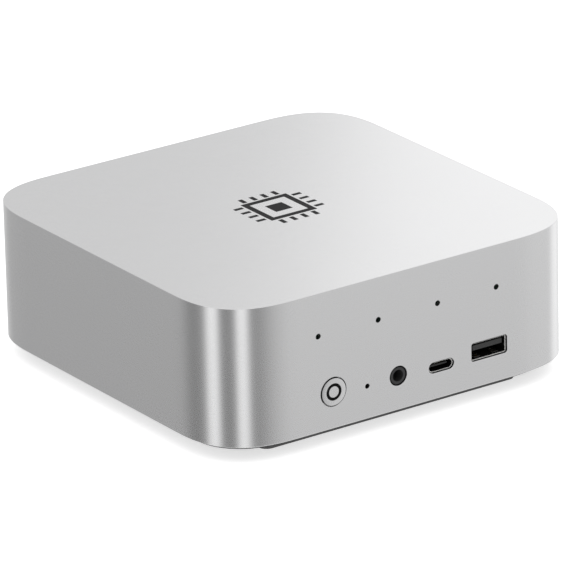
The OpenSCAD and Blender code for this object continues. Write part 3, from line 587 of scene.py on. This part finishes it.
def make_shell():
    flat = level()
    fillet = [
        (TOP_Z - EDGE_R * (1 - math.sin(a)), EDGE_R * (1 - math.cos(a)))
        for a in (math.pi / 2 * i / EDGE_STEPS for i in range(EDGE_STEPS + 1))
    ]
    profile = [(TOP_Z - WALL, WALL), (SHELL_Z, WALL), (SHELL_Z, LIP), (SHELL_Z + LIP, 0.0)] + fillet
    shell = Solid().loft([flat(body_outline(inset), z) for z, inset in profile]).object("body_shell")

    holes = Solid()

    def opening(place, outline, mouth):
        """A hole from outside the wall to its inner side, opening out at the face."""
        holes.stand(place, outline, [(-1.0, 1.0 + mouth), (0.0, mouth), (mouth, 0.0), (WALL + 1, 0.0)])

    def front_hole(x, z, outline, mouth=FRONT_MOUTH):
        opening(on_front(x, z), outline, mouth)

    def rear_hole(x, z, outline):
        opening(on_rear(x, z, REAR_Y), outline, REAR_MOUTH)

    for k in (-1.5, -0.5, 0.5, 1.5):
        front_hole(k * MIC_PITCH, MIC_Z, lambda g: circle(MIC_R, g, 40))
    front_hole(RESET.x, RESET.z, lambda g: circle(RESET_HOLE_R, g, 40))
    front_hole(BUTTON.x, BUTTON.z, lambda g: circle(BUTTON_R + BUTTON_GAP, g, 120), BUTTON_MOUTH)
    front_hole(JACK.x, JACK.z, jack_cut)
    front_hole(FRONT_C.x, FRONT_C.z, usb_c_cut)
    front_hole(FRONT_A.x, FRONT_A.z, usb_a_cut)

    rear_hole(DC.x, DC.z, lambda g: circle(DC_HOLE_R, g, 96))
    rear_hole(STACK.x, STACK.z, lambda g: round_rect(*STACK_CUT, BLOCK_CUT_R, g))
    rear_hole(LAN.x, LAN.z, lambda g: round_rect(*LAN_CUT, BLOCK_CUT_R, g))
    rear_hole(HDMI.x, VIDEO_Z, lambda g: round_rect(*HDMI_CUT, VIDEO_CUT_R, g))
    rear_hole(DP.x, VIDEO_Z, lambda g: round_rect(*DP_CUT, VIDEO_CUT_R, g))
    rear_hole(REAR_C.x, FRONT_C.z, usb_c_cut)
    for k in range(VENT_COUNT):
        x = (k - (VENT_COUNT - 1) / 2) * VENT_PITCH
        rear_hole(x, VENT_Z, lambda g: slot_upright(*VENT_SLOT, g))
    cut(shell, holes)
    cut(shell, emblem(EMBLEM_SLACK, TOP_Z - EMBLEM_DEPTH - 0.02, TOP_Z + 1))
    shade(shell, 25)
    weighted(shell)
    return piece(shell, "anodised_aluminium", "case", ["outer_shell"])


make_shell()
inlay = emblem(0.0, TOP_Z - EMBLEM_DEPTH, TOP_Z - 0.005)
piece(inlay.object("top_pictogram"), "emblem_black", "case", ["top_emblem"])


# ---------- power button ----------


def make_button():
    place = on_front(BUTTON.x, BUTTON.z, BUTTON_FACE_Y)
    stem_end = cad_box("power_button")[1].y - BUTTON_FACE_Y
    flange = FRONT_Y + WALL + 0.1 - BUTTON_FACE_Y
    cap = Solid()
    # face, ring groove and skirt as one turned profile of (depth, radius)
    profile = [
        (0.0, 0.02), (0.0, RING_INNER - 0.02), (0.02, RING_INNER), (RING_DEPTH, RING_INNER),
        (RING_DEPTH, RING_OUTER), (0.02, RING_OUTER), (0.0, RING_OUTER + 0.02),
        (0.0, BUTTON_R - 0.05), (0.015, BUTTON_R - 0.015), (0.05, BUTTON_R), (flange, BUTTON_R),
        (flange, BUTTON_FLANGE_R), (flange + 0.8, BUTTON_FLANGE_R), (flange + 0.8, BUTTON_STEM_R),
        (stem_end - 0.2, BUTTON_STEM_R), (stem_end, BUTTON_STEM_R - 0.2), (stem_end, 0.02),
    ]
    cap.loft([place(circle(r, 0.0, 120), depth) for depth, r in profile])
    thing = cap.object("power_cap", 28)
    weighted(thing)
    piece(thing, "anodised_aluminium", "power_button", ["power_button"])

    skirt = Solid()
    profile = [
        (0.06, -0.02), (flange, -0.02), (flange, BUTTON_SKIRT), (0.09, BUTTON_SKIRT),
        (0.06, BUTTON_SKIRT - 0.02),
    ]
    skirt.stand(place, lambda g: circle(BUTTON_R, g, 120), profile, ring=True)
    piece(skirt.object("button_skirt", 40), "ring_black", "power_button")

    ring = Solid()
    outer, inner = RING_OUTER - 0.01, RING_INNER + 0.01
    profile = [(RING_DEPTH - 0.02, outer), (0.04, outer), (0.02, outer - 0.03), (0.02, inner + 0.03),
               (0.04, inner), (RING_DEPTH - 0.02, inner)]
    ring.loft([place(circle(r, 0.0, 96), depth) for depth, r in profile], ring=True)
    piece(ring.object("button_ring", 40), "ring_black", "power_button", ["power_light_ring"])


make_button()


# ---------- sockets ----------


def can(solid, place, outline, depth, t=CAN_T, back=0.6):
    """Folded sheet-metal can with a soft mouth and a closed back."""
    profile = [(0.03, 0.0), (depth, 0.0), (depth, -t), (0.05, -t), (0.0, -t + 0.03), (0.0, -0.03)]
    solid.stand(place, outline, profile, ring=True)
    solid.stand(place, outline, [(depth + 0.01, -0.02), (depth + back, -0.02)])


def paint_socket_shade(label, place, outline, near, far):
    """Black sheet over a socket's inner walls: painted shade inside the socket."""
    outer, inner = -CAN_T - 0.005, -CAN_T - SHADE_SHEET
    profile = [(near, outer), (far, outer), (far, inner), (near + 0.05, inner), (near, inner + 0.02)]
    piece(Solid().stand(place, outline, profile, ring=True).object(label, 40), "ring_black")


def gap_shade_ring(label, place, outline, width, near, far=1.9):
    """Black ring in the gap between a socket and the wall round it, painted shade of the gap; outline is the
    wall's opening.
    """
    profile = [(near, -0.01), (far, -0.01), (far, -width), (near, -width)]
    piece(Solid().stand(place, outline, profile, ring=True).object(label, 40), "ring_black")


def contacts(solid, place, xs, width, v0, v1, near, far):
    """Flat contact strips that run into a socket."""
    for x in xs:
        outline = [(x - width / 2, v0), (x + width / 2, v0), (x + width / 2, v1), (x - width / 2, v1)]
        solid.loft([place(outline, near), place(outline, far)])


def usb_c(place, label):
    """A USB-C socket; label begins the names of its pieces and of the two CAD nodes it stands for."""
    shell = Solid()
    can(shell, place, usb_c_can, 7.3, back=0.8)
    # painted shade inside the USB-C socket
    paint_socket_shade(label + "_lining", place, usb_c_can, 0.12, 7.2)
    piece(shell.object(label + "_can", 30), "socket_steel", "case", [label + "_shell"])
    tongue = Solid()
    tongue.stand(place, lambda g: round_rect(6.6, 0.7, 0.3, g, 4), [(1.1, -0.12), (1.25, 0.0), (7.2, 0.0)])
    piece(tongue.object(label + "_tongue", 40), "tongue_black", "case", [label + "_tongue"])
    pads = Solid()
    xs = [(k - 5.5) * 0.5 for k in range(12)]
    contacts(pads, place, xs, 0.26, 0.33, 0.37, 1.5, 5.2)
    contacts(pads, place, xs, 0.26, -0.37, -0.33, 1.5, 5.2)
    piece(pads.object(label + "_pads", 40), "gold_contact")


def usb_a_tongue(tongue, pads, place, v):
    """Tongue with its underside at v, and the strips under it."""
    width, height = 11.2, 1.75
    tongue.stand(place, lambda g: shifted(round_rect(width, height, 0.15, g, 3), 0, v + height / 2),
                 [(0.6, -0.1), (0.75, 0.0), (12.0, 0.0)])
    contacts(pads, place, [-3.5, -1.0, 1.0, 3.5], 1.0, v - 0.1, v + 0.02, 1.4, 8.5)
    contacts(pads, place, [-3.9, -2.0, 0.0, 2.0, 3.9], 0.7, v - 0.18, v + 0.02, 8.9, 11.0)


def springs(solid, place, v, sign, xs=(-3.4, 3.4)):
    """Spring fingers that lean into a can from its wall at v; sign is 1 from below, -1 from above."""
    half, thickness = 1.1, 0.16
    for x in xs:
        loops = []
        for depth, lift in ((1.2, 0.02), (3.0, 0.3), (4.6, 0.3), (7.0, 0.0)):
            lo, hi = sorted((v + sign * lift, v + sign * (lift + thickness)))
            loops.append(place([(x - half, lo), (x + half, lo), (x + half, hi), (x - half, hi)], depth))
        solid.loft(loops)


def front_usb_a():
    place = on_front(FRONT_A.x, FRONT_A.z, FRONT_Y + RECESS)
    shell = Solid()
    can(shell, place, usb_a_can, 14.0)
    fingers = Solid()
    springs(fingers, place, CAN_T + SHADE_SHEET - USB_A[1] / 2, 1)
    piece(fingers.object("usb_a_springs", 40), "plated_pin")
    # painted shade inside the USB-A socket
    paint_socket_shade("usb_a_lining", place, usb_a_can, 0.25, 13.9)
    piece(shell.object("usb_a_can", 30), "socket_steel", "case", ["front_usb_a_shell"])
    tongue, pads = Solid(), Solid()
    usb_a_tongue(tongue, pads, place, 0.05)
    tongue.stand(place, lambda g: round_rect(*USB_A_BLOCK, 0.1, g, 2), [(11.8, 0.0), (13.9, 0.0)])
    piece(tongue.object("usb_a_tongue", 40), "tongue_black", "case", ["front_usb_a_tongue"])
    piece(pads.object("usb_a_strips", 40), "gold_contact")


def audio_socket():
    place = on_front(JACK.x, JACK.z)
    nose, bore, start = JACK_NOSE_R, JACK_BORE_R, JACK_RECESS
    solid = Solid()
    profile = [
        (2.2, nose), (start + 0.1, nose), (start, nose - 0.1), (start, bore + 0.04), (start + 0.04, bore),
        (JACK_BACK, bore), (JACK_BACK, 2.4), (JACK_BACK + 0.4, 2.4), (JACK_BACK + 0.4, 2.75), (2.2, 2.75),
    ]
    solid.loft([place(circle(r, 0.0, 84), depth) for depth, r in profile], ring=True)
    solid.stand(place, lambda g: circle(2.3, g, 48), [(JACK_BACK + 0.05, 0.0), (JACK_BACK + 0.3, 0.0)])
    piece(solid.object("audio_socket", 30), "jack_plastic", "case", ["front_audio_jack"])
    end = JACK_BACK - 0.1
    # painted shade: a thin black sheet over the bore's inner wall
    dark = [(start + 0.03, -0.005), (end, -0.005), (end, -0.08), (start + 0.08, -0.08), (start + 0.03, -0.05)]
    bore_shade_sheet = Solid().stand(place, lambda g: circle(bore, g, 84), dark, ring=True)
    piece(bore_shade_sheet.object("audio_lining", 40), "seal_rubber")
    profile = [
        (6.4, bore - 0.07), (7.6, bore - 0.2), (9.2, bore - 0.2), (9.6, bore - 0.07),
        (9.6, bore), (6.4, bore),
    ]
    sleeve = Solid().loft([place(circle(r, 0.0, 48), depth) for depth, r in profile], ring=True)
    piece(sleeve.object("audio_sleeve", 40), "gold_contact")


front_usb_a()
# black rings of painted shade in the gaps round the front and rear sockets
gap_shade_ring("usb_a_gasket", on_front(FRONT_A.x, FRONT_A.z), usb_a_cut, GAP_SHADE, 0.06)
gap_shade_ring("front_usb_c_gasket", on_front(FRONT_C.x, FRONT_C.z), usb_c_cut, GAP_SHADE, 0.06)
gap_shade_ring("rear_usb_c_gasket", on_rear(REAR_C.x, FRONT_C.z, REAR_Y), usb_c_cut, GAP_SHADE, 0.35)
gap_shade_ring("audio_gasket", on_front(JACK.x, JACK.z), jack_cut, JACK_GAP_SHADE, 0.08)
usb_c(on_front(FRONT_C.x, FRONT_C.z, FRONT_Y + RECESS), "front_usb_c")
usb_c(on_rear(REAR_C.x, FRONT_C.z), "rear_usb_c")
audio_socket()


def video_sockets():
    """The HDMI and DisplayPort sockets; label names the pieces and the CAD nodes they stand for."""
    for label, outline, x, (w, h), rise, roof in (
        ("hdmi", hdmi_outline, HDMI.x, (11.2, 1.4), 0.2, 2.5),
        ("displayport", displayport_outline, DP.x, (12.6, 1.7), 0.0, 2.4),
    ):
        place = on_rear(x, VIDEO_Z)
        shell = Solid()
        can(shell, place, outline, 11.0)
        springs(shell, place, roof, -1, (-3.0, 3.0))
        piece(shell.object(label + "_can", 30), "socket_steel", "case", [label + "_shell"])
        tongue, pads = Solid(), Solid()
        tongue.stand(place, lambda g: shifted(round_rect(w, h, 0.2, g, 3), 0, rise),
                     [(1.2, -0.12), (1.35, 0), (10.9, 0)])
        piece(tongue.object(label + "_tongue", 40), "tongue_black", "case", [label + "_tongue"])
        xs = [k - (VIDEO_PADS - 1) / 2 for k in range(VIDEO_PADS)]
        contacts(pads, place, xs, 0.45, rise + h / 2 - 0.02, rise + h / 2 + 0.05, 1.6, 8.0)
        contacts(pads, place, xs, 0.45, rise - h / 2 - 0.05, rise - h / 2 + 0.02, 1.6, 8.0)
        piece(pads.object(label + "_pads", 40), "gold_contact")


def usb_stack():
    low, high = cad_box("rear_usb_stack_shell")
    w, h = high.x - low.x, high.z - low.z
    middle = (low.z + high.z) / 2
    place = on_rear(STACK.x, middle)
    body = Solid().stand(place, lambda g: round_rect(w, h, 0.4, g, 4),
                         [(0.0, -0.08), (0.08, 0.0), (high.y - low.y, 0.0)]).object("usb_stack_can", 30)
    mouths = [BOARD_TOP + 0.02 + v - middle for v in (4.1, 11.7)]
    holes = Solid()
    for v in mouths:
        holes.stand(place, lambda g: shifted(round_rect(*USB_A_MOUTH, 0.3, g, 3), 0, v),
                    [(-1.0, 1.15), (0.0, 0.15), (0.15, 0.0), (13.0, 0.0)])
    cut(body, holes)
    shade(body, 30)
    piece(body, "socket_steel", "case", ["rear_usb_stack_shell"])
    tongue, pads, tabs = Solid(), Solid(), Solid()
    for v in mouths:
        usb_a_tongue(tongue, pads, place, v + 0.1)
        tongue.stand(place, lambda g: shifted(round_rect(*USB_A_BLOCK, 0.1, g, 2), 0, v),
                     [(11.7, 0.0), (12.9, 0.0)])
        springs(tabs, place, v - USB_A_MOUTH[1] / 2, 1)
    piece(tongue.object("usb_stack_tongues", 40), "tongue_pale", "case", ["rear_usb_stack_tongues"])
    piece(pads.object("usb_stack_strips", 40), "gold_contact")
    piece(tabs.object("usb_stack_springs", 40), "plated_pin")


def network_jack():
    low, high = cad_box("lan_jack")
    middle = (low.z + high.z) / 2
    place = on_rear(LAN.x, middle)
    body = Solid().stand(place, lambda g: round_rect(high.x - low.x, high.z - low.z, 0.35, g, 4),
                         [(0.0, -0.08), (0.08, 0.0), (high.y - low.y, 0.0)]).object("network_can", 30)
    floor = low.z + 1.6 - middle
    w, h = 11.7, 8.0
    roof = floor + h
    step, latch = (3.1, roof + 1.6), (1.6, roof + 2.6)  # the two narrower parts over the plug
    right = [(w / 2, floor), (w / 2, roof), (step[0], roof), step, (latch[0], step[1]), latch]
    left = [(-u, v) for u, v in reversed(right)]
    mouth = [left[-1]] + right + left[:-1]
    cut(body, Solid().loft([place(mouth, -1.0), place(mouth, 12.0)]))
    lights = Solid()
    windows = Solid()
    for side in (-1, 1):
        light_at = (side * 5.6, roof + 1.9)
        outline = shifted(round_rect(3.0, 1.7, 0.2, 0.0, 3), *light_at)
        windows.loft([place(outline, -1.0), place(outline, 1.2)])
        lights.loft([place(shifted(round_rect(2.9, 1.6, 0.2, g, 3), *light_at), depth)
                     for depth, g in ((0.12, -0.1), (0.2, 0.0), (1.15, 0.0))])
    cut(body, windows)
    shade(body, 30)
    piece(body, "socket_steel", "case", ["lan_jack"])
    piece(lights.object("network_lights", 40), "plunger_plastic")
    pins = Solid()
    for k in range(8):
        x = (k - 3.5) * 1.02
        loops = []
        for depth, lift in ((3.0, 0.15), (7.0, 0.3), (11.2, 2.1)):
            v = floor + lift
            loops.append(place([(x - 0.2, v), (x + 0.2, v), (x + 0.2, v + 0.25), (x - 0.2, v + 0.25)], depth))
        pins.loft(loops)
    piece(pins.object("network_pins", 40), "gold_contact", "case", ["lan_jack_contacts"])


def power_inlet():
    place = on_rear(DC.x, DC.z)
    low, high = cad_box("dc_jack")
    nose = Solid()
    bore, outer = DC_BORE_R, DC_NOSE_R
    profile = [
        (1.5, outer), (0.12, outer), (0.0, outer - 0.12), (0.0, bore + 0.15), (0.15, bore),
        (10.0, bore), (10.0, bore + 0.3), (1.5, bore + 0.3),
    ]
    nose.loft([place(circle(r, 0.0, 84), depth) for depth, r in profile], ring=True)
    body = Solid()
    body.block((low.x, low.y, low.z), (high.x, REAR_Y - WALL - 0.1, high.z), 0.3)
    shape = body.object("power_inlet_body", 30)
    well = circle(bore + 0.31, 0.0, 64)
    cut(shape, Solid().loft([place(well, -1.0), place(well, 10.0)]))
    piece(shape, "jack_plastic", "case", ["dc_jack"])
    piece(nose.object("power_inlet_nose", 30), "jack_plastic")
    pin = Solid()
    profile = [(0.8, 0.3), (0.85, 0.7), (1.05, 1.0), (1.4, 1.2), (1.8, 1.25), (9.9, 1.25)]
    pin.loft([place(circle(r, 0.0, 48), depth) for depth, r in profile])
    piece(pin.object("power_inlet_pin", 50), "plated_pin", "case", ["dc_jack_pin"])


video_sockets()
usb_stack()
network_jack()
power_inlet()


# ---------- CAD nodes that stay ----------

BEVELS = {  # millimetres
    "front_foot_strip": 0.18, "rear_foot_strip": 0.18, "power_inductors": 0.25, "memory_chips": 0.08,
    "speaker_left": 0.4, "speaker_right": 0.4, "coin_cell": 0.15,
}
for name, thing in NODES.items():
    if thing.hide_render:
        continue
    thing.data.materials.clear()
    thing.data.materials.append(material_for(SLOT_OF[name]))
    weld = thing.modifiers.new("weld", "WELD")
    weld.merge_threshold = 1e-6
    if name in BEVELS:
        bevel = thing.modifiers.new("edge", "BEVEL")
        bevel.width, bevel.segments, bevel.limit_method = BEVELS[name] * MM, 3, "ANGLE"
        bevel.angle_limit = math.radians(40)
        bevel.harden_normals = False


# ---------- floor, light and camera ----------


FLOOR_HALF = 12.0  # metres
FLOOR_DROP = 0.00005
FLOOR_GLOW = 0.62  # keeps the pale floor close to white under the soft light


def make_floor():
    half = FLOOR_HALF
    corners = [(-half, -half, 0), (half, -half, 0), (half, half, 0), (-half, half, 0)]
    mesh = bpy.data.meshes.new("floor")
    mesh.from_pydata(corners, [], [(0, 1, 2, 3)])
    floor = bpy.data.objects.new("floor", mesh)
    bpy.context.scene.collection.objects.link(floor)
    floor.location.z = -FLOOR_DROP
    material, g = new_material("pale_floor")
    where = g.add("TexCoord").outputs["Object"]
    cloud = g.noise(where, 300.0, 2.0)
    base = g.blend(cloud, grey(0.92), grey(0.94))
    surface = g.add("BsdfPrincipled", {"Base Color": base, "Roughness": 0.9, "Specular IOR Level": 0.0,
                                       "Emission Color": grey(1.0), "Emission Strength": FLOOR_GLOW})
    g.add("OutputMaterial", {"Surface": surface.outputs[0]})
    mesh.materials.append(material)
    floor.visible_glossy = False  # the metal sees the studio's low light boxes, not the floor


# Light boxes below the object's horizon, as (compass degrees, half width, softness, brightness)
LOW_BASE = 0.245
LOW_BOXES = [
    (-10, 38, 56, 0.445),
    (11, 8, 13, 0.42),
    (-34, 8, 16, 0.05),
    (82, 46, 14, 0.23),
    (68, 12, 18, 0.22),
    (-120.5, 2.5, 13, 0.92),
    (-179, 3.5, 13.5, 0.90),
]
SKY_LOW, SKY_HIGH = 0.72, 0.98

CAMERA_YAW, CAMERA_PITCH, CAMERA_ROLL = -34.475, 21.233, -1.339  # degrees
# how far back, right and up from the middle of the shell's lower edge
CAMERA_DISTANCE, CAMERA_ACROSS, CAMERA_ABOVE = 2065.7, -0.305, 18.81
CAMERA_LENS = 425.6
CAMERA_SENSOR = 36.0


def make_studio():
    world = bpy.data.worlds.new("studio")
    bpy.context.scene.world = world
    world.use_nodes = True
    g = Graph(world.node_tree)
    where = g.add("TexCoord").outputs["Generated"]
    xyz = g.add("SeparateXYZ", {0: where})
    flat = g.add("CombineXYZ", {"X": xyz.outputs["X"], "Y": xyz.outputs["Y"], "Z": 0.0}).outputs[0]
    flat = g.add("VectorMath", {0: flat}, operation="NORMALIZE").outputs[0]
    low = LOW_BASE
    for compass, half_width, soft, gain in LOW_BOXES:
        a = math.radians(compass)
        near = g.add("VectorMath", {0: flat, 1: (math.cos(a), math.sin(a), 0.0)}, operation="DOT_PRODUCT")
        inner = math.cos(math.radians(half_width))
        outer = math.cos(math.radians(half_width + soft))
        low = g.math("ADD", low, g.remap(near.outputs["Value"], outer, inner, 0.0, gain))
    height = xyz.outputs["Z"]
    high = g.remap(height, 0.6, 0.92, SKY_LOW, SKY_HIGH)
    level_mix = g.remap(height, -0.08, 0.08, 0.0, 1.0)
    strength = g.math("ADD", g.math("MULTIPLY", low, g.math("SUBTRACT", 1.0, level_mix)),
                      g.math("MULTIPLY", high, level_mix))
    light = g.add("Background", {"Color": grey(1.0), "Strength": strength})
    g.add("OutputWorld", {"Surface": light.outputs[0]})


def make_softbox(name, compass, elevation, distance, size, brightness):
    """A square light that faces the object. Brightness is its radiance."""
    a, e = math.radians(compass), math.radians(elevation)
    back = Vector((math.cos(a) * math.cos(e), math.sin(a) * math.cos(e), math.sin(e)))
    lamp = bpy.data.lights.new(name, "AREA")
    lamp.shape, lamp.size, lamp.size_y = "RECTANGLE", size[0], size[1]
    lamp.energy = brightness * math.pi * size[0] * size[1]
    thing = bpy.data.objects.new(name, lamp)
    thing.location = Vector((0, 0, 0.03)) + back * distance
    thing.rotation_mode = "QUATERNION"
    thing.rotation_quaternion = back.to_track_quat("Z", "Y")
    thing.visible_camera = False
    bpy.context.scene.collection.objects.link(thing)


def make_camera():
    """The photograph's viewpoint."""
    yaw, pitch, roll = (math.radians(a) for a in (CAMERA_YAW, CAMERA_PITCH, CAMERA_ROLL))
    back = Vector((math.sin(yaw) * math.cos(pitch), -math.cos(yaw) * math.cos(pitch), math.sin(pitch)))
    right = (-back).cross(Vector((0, 0, 1))).normalized()
    up = right.cross(-back)
    right, up = (math.cos(roll) * right + math.sin(roll) * up, math.cos(roll) * up - math.sin(roll) * right)
    place = back * CAMERA_DISTANCE + right * CAMERA_ACROSS + up * CAMERA_ABOVE + Vector((0, 0, SHELL_Z))
    lens = bpy.data.cameras.new("camera")
    lens.sensor_width, lens.lens = CAMERA_SENSOR, CAMERA_LENS
    lens.clip_start, lens.clip_end = 0.05, 60.0
    camera = bpy.data.objects.new("camera", lens)
    camera.matrix_world = Matrix(
        ((right.x, up.x, back.x, place.x * MM), (right.y, up.y, back.y, place.y * MM),
         (right.z, up.z, back.z, place.z * MM), (0, 0, 0, 1))
    )
    bpy.context.scene.collection.objects.link(camera)
    bpy.context.scene.camera = camera


make_floor()
make_studio()
make_softbox("back_softbox", 33, 21, 0.85, (0.6, 0.6), 0.41)
make_camera()
bpy.context.scene.view_settings.view_transform = "Standard"
